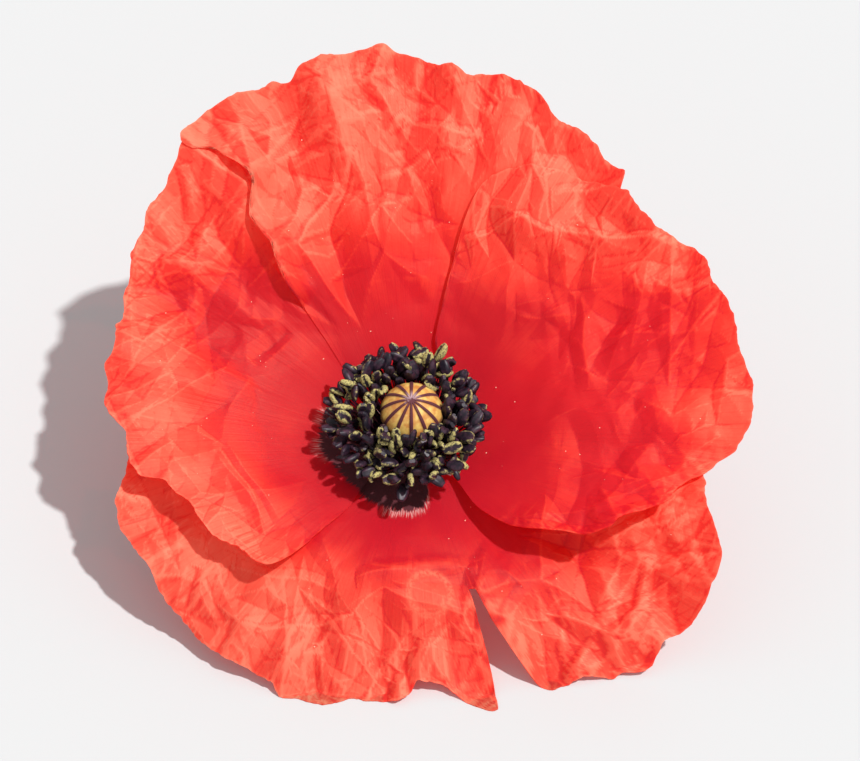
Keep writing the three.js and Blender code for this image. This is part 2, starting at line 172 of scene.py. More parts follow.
class Link:
    def __init__(self, tree, socket):
        self.tree = tree
        self.socket = socket

    def node(self, kind, settings=None, sockets=None, output=0):
        made = self.tree.nodes.new(kind)
        for name, value in (settings or {}).items():
            if name == "stops":
                setStops(made.color_ramp, value)
            else:
                setattr(made, name, value)
        for name, value in (sockets or {}).items():
            if isinstance(value, Link):
                self.tree.links.new(value.socket, made.inputs[name])
            else:
                made.inputs[name].default_value = value
        return Link(self.tree, made.outputs[output])

    def maths(self, operation, *values):
        return self.node("ShaderNodeMath", {"operation": operation}, dict(enumerate(values)))

    def __add__(self, other):
        return self.maths("ADD", self, other)

    def __sub__(self, other):
        return self.maths("SUBTRACT", self, other)

    def __rsub__(self, other):
        return self.maths("SUBTRACT", other, self)

    def __mul__(self, other):
        return self.maths("MULTIPLY", self, other)

    def __pow__(self, other):
        return self.maths("POWER", self, other)

    def __abs__(self):
        return self.maths("ABSOLUTE", self)

    __radd__ = __add__
    __rmul__ = __mul__

    def between(self, low, high):  # 0 at low, 1 at high, eased; low may be the greater
        return self.node(
            "ShaderNodeMapRange",
            {"interpolation_type": "SMOOTHSTEP"},
            {"Value": self, "From Min": low, "From Max": high},
        )

    def attribute(self, name):
        return self.node("ShaderNodeAttribute", {"attribute_name": name}, output="Fac")

    def attributes(self, *names):
        return [self.attribute(name) for name in names]

    def place(self):
        return self.node("ShaderNodeTexCoord", output="Object")

    def vector(self, x, y, z=0.0):
        return self.node("ShaderNodeCombineXYZ", None, {"X": x, "Y": y, "Z": z})

    def noise(self, vector, scale, detail=2.0, roughness=0.5, distortion=0.0):
        sockets = {"Scale": scale, "Detail": detail, "Roughness": roughness, "Distortion": distortion}
        return self.node("ShaderNodeTexNoise", None, {"Vector": vector, **sockets})

    def mix(self, factor, first, second):  # of two colours
        return self.node("ShaderNodeMix", {"data_type": "RGBA"}, {0: factor, 6: first, 7: second}, output=2)

    def layered(self, colour, finish, *layers):  # with a finish's colours laid over it: (factor, its name)
        for factor, name in layers:
            colour = self.mix(factor, colour, rgb(finish[name]))
        return colour

    def bump(self, height, strength, distance):
        sockets = {"Height": height, "Strength": strength, "Distance": distance}
        return self.node("ShaderNodeBump", None, sockets)

    def principled(self, sockets):
        return self.node("ShaderNodeBsdfPrincipled", None, sockets)

    def shared(self, factor, first, second):  # of two shaders
        return self.node("ShaderNodeMixShader", None, {0: factor, 1: first, 2: second})


def setStops(ramp, stops):
    while len(ramp.elements) < len(stops):
        ramp.elements.new(1.0)
    for element, (position, colour) in zip(ramp.elements, stops):
        element.position = position
        element.color = colour


def newMaterial(name):
    material = bpy.data.materials.new(name)
    material.use_nodes = True
    tree = material.node_tree
    tree.nodes.clear()
    start = Link(tree, None)
    return material, start


def finishWith(start, shader):
    output = start.tree.nodes.new("ShaderNodeOutputMaterial")
    start.tree.links.new(shader.socket, output.inputs["Surface"])


def rgb(colour):
    return (*colour, 1.0)


# The petals' form.

creaseLook = {
    "seed": 7,
    "count": 70,
    "nearest": 16,
    "band": 27,  # how much farther out they lie at most
    "length": 9,
    "width": 4.0,
    "height": 0.8,
    "grows": (12, 32),
    "pleats": [(11, 0.45, 0.6), (17, 0.4, 2.1), (29, 0.22, 4.0)],  # waves round the rim, height, phase
    "pleatsGrow": (15, 38),
}


def budCreases(look):  # left where the tissue was packed in the bud, more and deeper towards the rim
    random = randomFrom(look["seed"])
    creases = []
    for _ in range(look["count"]):
        radius = look["nearest"] + look["band"] * math.sqrt(random())
        azimuth = 360 * random()
        x, y, _ = polar(azimuth, radius, 0)
        turn = azimuth + 180 * (random() - 0.5)
        length = look["length"] * (0.7 + 0.8 * random())
        width = look["width"] * (0.7 + 0.6 * random())
        height = look["height"] * (0.4 + 0.8 * random()) * (-1 if random() < 0.5 else 1)
        creases.append((x, y, math.radians(turn), length, width, height * ease(*look["grows"], radius)))
    return creases


creases = budCreases(creaseLook)

crumpleLook = [  # flat facets that meet in sharp creases, longer along the petal than across it
    {"seed": 3, "spacing": 6.0, "stretch": 1.25, "height": 1.5, "grows": (9, 24)},
    {"seed": 19, "spacing": 2.9, "stretch": 1.2, "height": 0.5, "grows": (10, 26)},
    {"seed": 42, "spacing": 1.5, "stretch": 1.2, "height": 0.14, "grows": (14, 30)},
]
netForm = {"inner": 3.0, "outer": 56, "fewest": 6, "scatter": 0.85}  # scatter in shares of the spacing


def crumpleNet(look):
    random = randomFrom(look["seed"])
    step = look["spacing"] * math.sqrt(look["stretch"])
    across = look["spacing"] / math.sqrt(look["stretch"])
    flat, heights = [], []
    radius = netForm["inner"]
    while radius < netForm["outer"]:
        count = max(netForm["fewest"], round(2 * math.pi * radius / across))
        for k in range(count):
            away = radius + step * netForm["scatter"] * (random() - 0.5)
            azimuth = 360 * (k + netForm["scatter"] * (random() - 0.5)) / count
            flat.append(Vector(polar(azimuth, away, 0)[:2]))
            height = 2 * look["height"] * (random() - 0.5)
            heights.append(height * float(ease(*look["grows"], away)))
        radius += step
    corners, _, faces, sources, _, _ = delaunay_2d_cdt(flat, [], [], 0, 1e-5)
    solid = [Vector((at.x, at.y, heights[source[0]])) for at, source in zip(corners, sources)]
    return BVHTree.FromPolygons(solid, faces)


crumpleNets = [crumpleNet(look) for look in crumpleLook]
crumpleAround = [  # how strongly the tissue is crumpled, by azimuth
    (-60, 0.8), (-30, 0.75), (0, 0.65), (40, 0.75), (70, 0.9), (110, 1), (140, 0.6), (170, 0.5), (205, 0.6),
    (230, 0.8), (270, 0.85), (300, 0.8), (330, 0.75), (360, 0.65), (400, 0.75),
]


def netHeight(net, x, y):
    down = Vector((0, 0, -1))
    hits = (net.ray_cast(Vector((a, b, 20)), down)[0] for a, b in zip(x.ravel().tolist(), y.ravel().tolist()))
    return np.array([hit.z if hit else 0.0 for hit in hits]).reshape(x.shape)


# Folds: from and to, the height of the line between them, below zero in a groove, and how wide the facets on
# its left and on its right are.
folds = [
    ((6.6, 22.3), (14.6, 23.9), 0.75, 0.7, 3.2),  # right petal
    ((13.2, 23.8), (18.0, 21.9), 0.5, 0.6, 2.4),
    ((17.4, 22.3), (35.5, 18.6), 0.8, 0.9, 3.6),
    ((18.2, 21.6), (21.7, 20.0), -0.4, 2.0, 1.6),
    ((22.4, 18.1), (35.5, 17.5), -0.9, 3.0, 2.6),
    ((20.8, 15.6), (21.5, 3.4), 0.7, 4.0, 1.6),
    ((25.8, 13.2), (21.5, 5.6), -0.8, 1.8, 3.4),
    ((12.8, 13.6), (20.0, 12.7), 0.6, 3.0, 2.2),
    ((16.2, 22.2), (17.8, 14.0), -0.5, 2.0, 3.0),
    ((27.1, 2.8), (27.9, -4.4), -0.4, 2.0, 3.0),
    ((21.2, -5.6), (18.3, -15.2), -0.55, 2.4, 2.6),
    ((29.8, -3.4), (21.4, -13.4), 0.6, 3.8, 2.4),
    ((19.0, 0.8), (21.2, -7.4), -0.5, 2.4, 2.6),
    ((21.2, 26.4), (29.0, 18.4), -0.45, 1.8, 2.4),
    ((27.2, 14.5), (36.2, 14.0), 0.4, 1.6, 2.4),
    ((21.4, -14.8), (31.6, -11.8), 0.4, 1.2, 2.0),
    ((-3.2, 43.6), (-5.0, 38.2), 0.55, 1.6, 1.2),  # back petal
    ((-5.2, 39.4), (-1.8, 33.9), 0.6, 2.4, 1.6),
    ((-2.4, 35.0), (2.2, 30.4), 0.5, 2.4, 1.4),
    ((-4.2, 28.4), (2.4, 31.1), 0.6, 0.7, 2.6),
    ((-1.1, 34.9), (4.6, 33.0), 0.4, 0.8, 2.0),
    ((5.3, 38.0), (8.2, 32.2), -0.5, 2.0, 3.0),
    ((3.6, 33.2), (9.0, 32.9), 0.45, 1.0, 2.4),
    ((13.2, 38.8), (17.0, 28.4), -0.6, 2.0, 4.4),
    ((12.5, 40.0), (12.4, 36.5), -0.5, 1.0, 1.0),
    ((17.0, 26.0), (27.0, 27.9), 0.6, 1.0, 3.0),
    ((2.0, 28.0), (3.5, 24.2), -0.4, 1.0, 1.6),
    ((-15.0, 30.1), (-8.8, 31.7), 0.6, 1.0, 3.4),
    ((-9.2, 32.0), (-11.0, 27.4), -0.5, 1.8, 2.6),
    ((-9.8, 30.9), (-6.4, 30.9), 0.4, 0.9, 1.8),
    ((-30.4, 19.4), (-24.2, 27.0), -0.9, 3.4, 1.3),  # left petal
    ((-27.2, 24.4), (-28.4, 30.0), 0.5, 0.8, 2.0),
    ((-36.5, 15.9), (-31.2, 17.8), -0.8, 2.0, 1.8),
    ((-35.4, 19.5), (-30.8, 19.5), -0.5, 1.5, 1.2),
    ((-37.8, 0.9), (-29.2, 5.0), 0.5, 1.2, 3.0),
    ((-36.6, 12.6), (-29.8, 10.3), 0.4, 1.0, 2.6),
    ((-19.6, 8.2), (-15.4, 12.5), -0.45, 1.8, 1.1),
    ((-23.7, -2.7), (-16.3, -12.8), -0.35, 0.8, 0.9),
    ((-34.0, -8.2), (-29.0, -3.3), 0.4, 1.2, 2.8),
    ((-13.8, -28.8), (-9.6, -22.9), -0.7, 2.6, 0.9),  # front petal
    ((-11.3, -33.0), (-11.5, -26.5), -0.5, 1.2, 0.9),
    ((-4.6, -34.0), (-1.6, -28.8), -0.9, 1.6, 1.2),
    ((-2.2, -30.2), (0.6, -25.6), -0.8, 1.4, 1.2),
    ((-0.2, -34.6), (-0.5, -26.8), -0.9, 1.2, 1.5),
    ((-23.8, -27.2), (-21.4, -23.2), -0.4, 1.2, 0.9),
    ((-27.2, -22.0), (-26.0, -17.0), -0.4, 1.2, 0.9),
    ((-22.2, -23.4), (-25.0, -18.0), -0.4, 1.0, 1.3),
    ((-22.0, -17.3), (-9.0, -20.5), 0.5, 1.2, 5.0),
    ((-6.6, -19.5), (1.8, -17.6), 0.6, 1.3, 2.2),
    ((0.0, -17.8), (7.8, -17.4), 0.5, 1.3, 2.2),
    ((1.1, -25.8), (7.4, -25.8), -0.3, 1.2, 1.2),
    ((9.6, -24.4), (12.9, -19.3), -0.6, 3.6, 1.5),
    ((17.3, -34.0), (15.4, -23.0), -1.1, 2.6, 2.3),
    ((21.2, -26.9), (16.1, -18.3), 0.5, 1.2, 3.0),
    ((22.3, -22.5), (25.3, -20.8), 0.4, 0.8, 1.8),
    ((25.1, -25.5), (24.8, -20.5), -0.4, 1.8, 1.3),
    ((18.6, -30.0), (21.9, -25.4), 0.5, 0.9, 2.6),
    ((27.5, -22.5), (28.2, -16.8), 0.5, 0.8, 1.8),
    ((28.9, -22.2), (29.1, -17.5), -0.4, 1.5, 1.5),
    ((30.9, -13.4), (35.8, -21.0), 0.6, 3.0, 1.2),
    ((29.7, -17.6), (29.4, -13.4), -0.5, 2.4, 2.2),
    ((27.0, -29.4), (29.4, -25.6), -0.6, 1.5, 2.0),
    ((6.9, -26.0), (8.2, -20.5), -0.5, 1.2, 1.4),
]


def creaseHeight(crease, x, y):  # four flat facets that meet in a ridge or a valley
    centreX, centreY, turn, length, width, height = crease
    near = (np.abs(x - centreX) < length + width) & (np.abs(y - centreY) < length + width)
    dx, dy = x[near] - centreX, y[near] - centreY
    along = dx * math.cos(turn) + dy * math.sin(turn)
    across = dy * math.cos(turn) - dx * math.sin(turn)
    result = np.zeros_like(x)
    result[near] = height * np.clip(1 - np.abs(along) / length - np.abs(across) / width, 0, None)
    return result


def foldHeight(fold, x, y):
    start, end, height, left, right = fold
    dx, dy = end[0] - start[0], end[1] - start[1]
    length = math.hypot(dx, dy)
    along = ((x - start[0]) * dx + (y - start[1]) * dy) / length**2
    across = ((y - start[1]) * dx - (x - start[0]) * dy) / length
    taper = np.sqrt(np.clip(1 - np.abs(2 * along - 1), 0, 1))
    profile = np.where(across > 0, 1 - across / left, 1 + across / right)
    return height * taper * np.clip(profile, 0, 1)


def tissueHeight(x, y):
    radius = np.hypot(x, y)
    turn = np.arctan2(y, x)
    height = np.zeros_like(x)
    for waves, size, phase in creaseLook["pleats"]:
        height += size * np.sin(waves * turn + phase) * ease(*creaseLook["pleatsGrow"], radius)
    for crease in creases:
        height += creaseHeight(crease, x, y)
    bentX = x + 0.2 * np.sin(0.83 * y + 0.4)  # few creases are straight
    bentY = y + 0.2 * np.sin(0.77 * x + 2.1)
    for fold in folds:
        height += foldHeight(fold, bentX, bentY)
    bentX += 0.6 * np.sin(0.31 * y + 1.3)
    bentY += 0.6 * np.sin(0.29 * x + 0.4)
    crumple = curveThrough(crumpleAround)(np.degrees(turn) % 360)
    for net in crumpleNets:
        height += crumple * netHeight(net, bentX, bentY)
    return height


petalForm = {
    "thickness": 0.16,
    "clawRadius": 2.7,
    "clawHalfWidth": 43.5,  # degrees
    "clawHeight": 0.65,
    "clawTurn": (5.2, 12.5),  # the claw widens into the blade between these radii
    "cupStart": 4.4,
    "cupFull": 12,
    "cupPower": 1.2,
    "cupEdge": 18.5,
    "hipSoftness": 2.2,
    "outerRadius": 36,
    "layerRise": 0.5,  # over the petal that it overlaps
    "layerFrom": (4.1, 6.3),
    "swayWidth": 24,  # degrees in from the last edge
    "curlWidth": 9,
    "cupSteps": 26,
    "rimSteps": 92,
    "ragged": [(2.6, 0.34, 5), (1.1, 0.14, 6), (0.5, 0.05, 7)],  # spacing in degrees, size, seed
    "steepCell": 0.8,  # the most that the outline moves in or out from one ray to the next
    "sunwardSlopeStep": 0.15,
    "sharpAngle": 70,
}

# Each list gives a value round the petal, (azimuth, value): how far it reaches, how far out its hip lies and
# how high, its height at outerRadius, how much of layerRise it has, how far out it turns pale, how much paler
# or darker it is there, and where its dark blotch ends. sway moves its last edge round, by (radius, degrees),
# and curl lifts it, by (radius, millimetres). fringe gives the spans where the blotch has a pale fringe.
petals = {
    "petal_front": {
        "claw": 270,
        "cell": 0.5,  # degrees round the petal
        "reach": [
            (178, 33), (188, 35.1), (193.5, 36.7), (199.5, 37.4), (204.5, 36.6), (214.5, 36.1), (225, 35.7),
            (231, 35.4), (240, 34.8), (245, 35.5), (252, 35.5), (255, 34.5), (258, 33), (262, 32.9),
            (267, 33.1), (269.5, 32.3), (271.5, 30.6), (275, 30.7), (282, 33.8), (286.5, 36.4), (288.2, 30),
            (288.8, 21.7), (290.4, 21.9), (292, 25.5), (293.6, 28.6), (296, 32.8), (298.5, 35.6),
            (300, 35.7), (304, 35.9), (311, 38.4), (316.5, 40.5), (320, 40), (325, 41.1), (329, 41.6),
            (334, 41.2), (338.5, 38.8), (343, 36.8), (350, 35.3), (362, 33),
        ],
        "hip": [
            (178, 20), (235, 20.5), (254, 19.2), (273, 17.8), (289, 18.8), (300, 20.8), (315, 24),
            (362, 22),
        ],
        "hipHeight": [
            (178, 4.4), (200, 4.9), (225, 5), (255, 5.4), (273, 5.2), (290, 4.8), (300, 3.6), (308, 2.4),
            (322, 2.2), (342, 4.6), (362, 5.4),
        ],
        "outerHeight": [
            (178, 5.4), (190, 4.9), (200, 3.3), (213, 1.2), (235, -2.8), (255, -3.6), (275, -2.6),
            (287, -4), (300, -3.6), (312, -1.6), (322, 1), (330, 4.4), (338, 7.8), (346, 9.2), (362, 9.4),
        ],
        "layer": [(178, 0), (362, 0)],
        "pale": [
            (178, 25), (200, 23), (225, 20), (245, 20), (262, 21), (290, 22), (310, 26), (325, 25),
            (337, 21), (362, 25),
        ],
        "lift": [
            (178, 0.05), (205, 0.1), (226, 0.22), (248, 0.08), (270, 0), (300, -0.06), (318, -0.12),
            (336, 0.06), (362, 0),
        ],
        "blotch": [(178, 9.8), (215, 9.6), (245, 9.9), (275, 9.6), (283, 8.2), (292, 5.4), (362, 5.4)],
        "fringe": [(250, 287)],
    },
    "petal_left": {
        "claw": 180,
        "cell": 0.38,
        "reach": [
            (116, 36), (121, 40), (125, 42.2), (131, 42.7), (134, 41.8), (142, 41), (151, 39.3),
            (155, 38.8), (159, 37.6), (167, 37.1), (174, 37.3), (178, 37.2), (181, 36.2), (185, 34.4),
            (190, 34.7), (193.8, 33.6), (195.6, 31), (200, 29.8), (204.5, 28.6), (208, 28.8), (213, 28.1),
            (219, 26.6), (225, 26), (228, 25.2), (230, 21.5), (231.5, 14),
        ],
        "hip": [(116, 19), (231.5, 19)],
        "hipHeight": [
            (116, 8.6), (125, 8.2), (134, 7.6), (142, 7.1), (165, 6), (190, 5.8), (210, 5.8), (231.5, 5.2),
        ],
        "outerHeight": [
            (116, 17.6), (125, 16.2), (134, 14.4), (142, 12.9), (150, 11.9), (167, 11), (180, 10),
            (192, 9.6), (205, 9.6), (231.5, 8.4),
        ],
        "layer": [(116, 0), (150, 0.3), (180, 1), (231.5, 1)],
        "pale": [
            (116, 26), (130, 27), (143, 32), (152, 34), (162, 29), (174, 25), (190, 23), (205, 21),
            (231.5, 19),
        ],
        "curl": [(10, 0), (14, -0.25), (25, -0.2)],
        "lift": [(116, 0), (231.5, 0)],
        # Between about 158 and 203 degrees this blotch reaches out to 11.4 mm. It is partly the real dark
        # blotch under its pale fringe and partly painted shadow of the stamens on the petal
        "blotch": [
            (116, 5.4), (145, 7.5), (158, 10.4), (168, 11.3), (190, 11.4), (203, 10.3), (231.5, 9.6),
        ],
        "fringe": [(161, 172), (183, 197)],
    },
    "petal_back": {
        "claw": 90,
        "cell": 0.36,
        "reach": [
            (34, 34), (39, 36.8), (45.5, 36.4), (48, 38.8), (51, 38.4), (55, 39.2), (58, 39.2), (63, 38.6),
            (67, 40), (71, 40.5), (76, 40.8), (80, 40), (84, 40.3), (88, 41.1), (93, 42.2), (95.2, 43.1),
            (98, 42.6), (104, 43), (109, 42.9), (111, 42.1), (114, 42.8), (118, 43.7), (125, 44.4),
            (129, 43.9), (132, 42.8), (133.5, 38), (134.5, 22),
        ],
        "hip": [(34, 19), (134.5, 19)],
        "hipHeight": [(34, 7.8), (50, 8.5), (76, 9.4), (95, 9.6), (116, 8.6), (125, 8.2), (134.5, 7.6)],
        "outerHeight": [
            (34, 15.8), (50, 18), (70, 20.4), (90, 21.2), (106, 19.6), (116, 17.7), (125, 16.2),
            (134.5, 14.4),
        ],
        "layer": [(34, 0), (76, 0), (112, 1), (134.5, 1)],
        "pale": [
            (34, 24), (60, 23), (75, 22), (85, 25), (95, 24), (104, 23), (113, 24), (124, 24), (134.5, 23),
        ],
        "curl": [
            (7, 0), (9, -0.3), (20, -0.2), (21, 1.1), (22.2, 1.9), (25.3, 2.2), (27, 2.4), (29, 1.9),
            (30.7, 1.3), (32.4, 0.7), (34, 1.1), (35.6, 1.6), (37.7, 1.2), (40.2, 0), (42, -0.25),
        ],
        "sway": [
            (12, 0), (13, -0.7), (17, -2.1), (20.5, -2.4), (22.2, -1.4), (25.3, -3), (27, -4.3),
            (30.7, -4.2), (32, -5.5), (34.3, -8.9), (35.8, -8.1), (37.7, -7), (40.2, -5.5), (41.4, -2.5),
            (44, 0),
        ],
        "lift": [
            (34, 0), (60, 0.02), (75, 0.05), (88, 0), (96, -0.02), (104, 0.2), (114, 0.12), (125, 0.16),
            (134.5, 0.16),
        ],
        "blotch": [(34, 5.4), (134.5, 6)],
        "fringe": [],
    },
    "petal_right": {
        "claw": 0,
        "cell": 0.38,
        "reach": [
            (-51, 13), (-49.5, 16), (-47.5, 18.6), (-44.5, 20.9), (-39, 24.3), (-33, 28.2), (-28.5, 29),
            (-22, 32.6), (-18, 33.3), (-15, 34.6), (-12.6, 36.3), (-9, 38.4), (-3.4, 40.7), (3.4, 41),
            (9, 40), (15, 40.3), (21, 39.3), (25, 39.8), (30, 38.7), (35, 36.7), (44, 36.6), (50, 35.9),
            (62, 33.1), (70, 30.6), (73, 28.7), (75.3, 24), (76.5, 14),
        ],
        "hip": [(-51, 19), (76.5, 19)],
        "hipHeight": [(-51, 6.4), (-42, 6.8), (-25, 6.8), (0, 7), (30, 7.9), (50, 8.6), (76.5, 9.5)],
        "outerHeight": [
            (-51, 14.6), (-40, 15), (-33, 13.6), (-26, 11.4), (-15, 10.2), (-5, 10.6), (5, 11.6),
            (20, 14.4), (34, 16.1), (50, 18.3), (60, 19.7), (76.5, 21.2),
        ],
        "layer": [(-51, 1), (76.5, 1)],
        "pale": [
            (-51, 26), (-25, 33), (-8, 34), (0, 31), (8, 36), (18, 37), (30, 31), (40, 27), (50, 24),
            (76.5, 20),
        ],
        "curl": [(6, 0), (14, 0.5), (25, 0.6), (30, -0.1)],
        "lift": [(-51, 0), (-25, -0.02), (-5, -0.1), (20, -0.12), (35, -0.03), (76.5, 0)],
        "blotch": [(-51, 5.4), (76.5, 5.4)],
        "fringe": [],
    },
}


def cupHeight(radius, hip, hipHeight, outerHeight, layer):
    start, power = petalForm["cupStart"], petalForm["cupPower"]
    rise = hipHeight - petalForm["clawHeight"]
    share = np.clip((radius - start) / (hip - start), 0, None)
    innerSlope = power * rise / (hip - start)
    inner = np.where(share < 1, rise * np.minimum(share, 1) ** power, rise + innerSlope * (radius - hip))
    bend = (outerHeight - hipHeight) / (petalForm["outerRadius"] - hip) - innerSlope
    past = radius - hip
    spread = bend * (past + np.hypot(past, petalForm["hipSoftness"])) / 2
    lift = layer * petalForm["layerRise"] * ease(*petalForm["layerFrom"], radius)
    return petalForm["clawHeight"] + inner + spread * ease(start, petalForm["cupFull"], radius) + lift


def petalPoints(form, blade, radius):  # the petal's middle surface for azimuths on its blade and radii
    first, last = form["reach"][0][0], form["reach"][-1][0]
    side = 2 * (blade - first) / (last - first) - 1
    claw = form["claw"] + side * petalForm["clawHalfWidth"]
    azimuth = claw + (blade - claw) * ease(*petalForm["clawTurn"], radius)
    if "sway" in form:
        nearLast = ease(last - petalForm["swayWidth"], last, blade)
        azimuth = azimuth + curveThrough(form["sway"])(radius) * nearLast
    curl = 0
    if "curl" in form:
        curl = curveThrough(form["curl"])(radius) * ease(last - petalForm["curlWidth"], last, blade)
    profile = (curveThrough(form[key])(azimuth) for key in ("hip", "hipHeight", "outerHeight", "layer"))
    height = cupHeight(radius, *profile)
    turn = np.radians(azimuth)
    x, y = radius * np.cos(turn), radius * np.sin(turn)
    tissue = tissueHeight(x, y)
    return np.stack([x, y, height + tissue + curl], -1), azimuth, tissue


def bladeRays(form):  # closer together where the outline is steep
    reachAt = curveThrough(form["reach"])
    rays = []
    for (fromAzimuth, fromReach), (toAzimuth, toReach) in zip(form["reach"], form["reach"][1:]):
        steepness = abs(toReach - fromReach) / petalForm["steepCell"]
        cells = math.ceil(max((toAzimuth - fromAzimuth) / form["cell"], steepness))
        rays.extend(fromAzimuth + (toAzimuth - fromAzimuth) * k / cells for k in range(cells))
    rays.append(form["reach"][-1][0])
    rays = np.array(rays)
    reach = reachAt(rays)
    for spacing, size, seed in petalForm["ragged"]:
        random = randomFrom(seed)
        stops = np.arange(-60, 370, spacing)
        reach = reach + np.interp(rays, stops, [2 * size * (random() - 0.5) for _ in stops])
    return rays, reach


def petalMesh(name, form, material):
    rays, reach = bladeRays(form)
    edge = np.minimum(petalForm["cupEdge"], 0.85 * reach)
    inner = (np.arange(petalForm["cupSteps"]) / petalForm["cupSteps"]) ** 1.1
    outer = np.arange(petalForm["rimSteps"] + 1) / petalForm["rimSteps"]
    radius = np.concatenate(
        [
            petalForm["clawRadius"] + (edge - petalForm["clawRadius"])[:, None] * inner,
            edge[:, None] + (reach - edge)[:, None] * outer,
        ],
        axis=1,
    )
    blade = np.broadcast_to(rays[:, None], radius.shape)
    points, azimuth, tissue = petalPoints(form, blade, radius)
    x, y, step = points[..., 0], points[..., 1], petalForm["sunwardSlopeStep"]
    # facing: how steeply the tissue falls away towards the key light; it feeds only the painted light and
    # shade in the petal colour
    facing = (tissueHeight(x - step, y - 0.2 * step) - tissueHeight(x + step, y + 0.2 * step)) / (2 * step)

    half = petalForm["thickness"] / 2
    ground = toGround(points) * 1000  # lies flat where it would sink into the ground
    ground[..., 2] = np.maximum(ground[..., 2], half)
    across = ground[1:, 1:] - ground[:-1, :-1]
    along = ground[:-1, 1:] - ground[1:, :-1]
    facet = np.cross(along, across)
    normal = np.zeros_like(ground)
    for part in (np.s_[:-1, :-1], np.s_[1:, :-1], np.s_[:-1, 1:], np.s_[1:, 1:]):
        normal[part] += facet
    normal /= np.linalg.norm(normal, axis=2)[..., None]
    upper = ground + half * normal
    lower = ground - half * normal
    upper[..., 2] = np.maximum(upper[..., 2], 2 * half)
    lower[..., 2] = np.maximum(lower[..., 2], 0)

    rayCount, steps = radius.shape
    index = np.arange(rayCount * steps).reshape(rayCount, steps)
    a, b, c, d = index[:-1, :-1], index[:-1, 1:], index[1:, 1:], index[1:, :-1]
    top = np.stack([a, b, c, d], -1).reshape(-1, 4)
    under = rayCount * steps
    bottom = top[:, ::-1] + under
    border = np.concatenate([index[0, :-1], index[:-1, -1], index[-1, :0:-1], index[:0:-1, 0]])
    after = np.roll(border, -1)
    wall = np.stack([border, border + under, after + under, after], -1)

    mesh = bpy.data.meshes.new(name)
    vertices = np.concatenate([upper.reshape(-1, 3), lower.reshape(-1, 3)]) / 1000
    mesh.from_pydata(vertices.tolist(), [], np.concatenate([top, bottom, wall]).tolist())
    spacing = np.gradient(radius, axis=1)
    bend = np.zeros_like(tissue)
    bend[:, 1:-1] += 2 * tissue[:, 1:-1] - tissue[:, 2:] - tissue[:, :-2]
    bend[1:-1] += 2 * tissue[1:-1] - tissue[2:] - tissue[:-2]
    # crest: how sharply the tissue bends here; it feeds painted crease highlights and painted crease shade in
    # the colour
    crest = np.clip(bend / (0.35 * spacing), -1, 1)
    layers = {
        "outward": radius,
        "around": blade - form["claw"],
        "azimuth": azimuth,
        "crest": crest,
        "facing": facing,
        "pale": ease(-6, 6, radius - curveThrough(form["pale"])(azimuth)),
        "lift": curveThrough(form["lift"])(azimuth),
        "pastBlotch": radius - curveThrough(form["blotch"])(azimuth),
        "fromEdge": reach[:, None] - radius,
        "planX": x,
        "planY": y,
    }
    for layerName, values in layers.items():
        setValues(mesh, layerName, np.tile(values.ravel(), 2))
    placePiece(name, mesh, material, name, petalForm["sharpAngle"])
    return upper


petalFinish = {
    "cup": (0.46, 0.003, 0.026),
    "tissue": [  # from the deepest facets to the palest
        (0.0, (0.38, 0.004, 0.024, 1)),
        (0.28, (0.52, 0.013, 0.029, 1)),
        (0.5, (0.72, 0.052, 0.038, 1)),
        (0.75, (0.83, 0.150, 0.088, 1)),
        (1.0, (0.86, 0.290, 0.172, 1)),
    ],
    "paleSpotTint": (0.80, 0.240, 0.135),
    "blotch": (0.035, 0.006, 0.014),
    "fringe": (0.80, 0.56, 0.52),
    "through": (0.97, 0.045, 0.024),  # of light that comes through the tissue
    "throughShare": 0.52,
    "clear": (1.0, 0.10, 0.08),  # of light that goes straight through
    "clearShare": 0.22,
    "paleSpot": (2.2, -21.1, 2.5),  # the middle of a pale ring with a paler patch inside it on the front petal, and the ring's radius
}


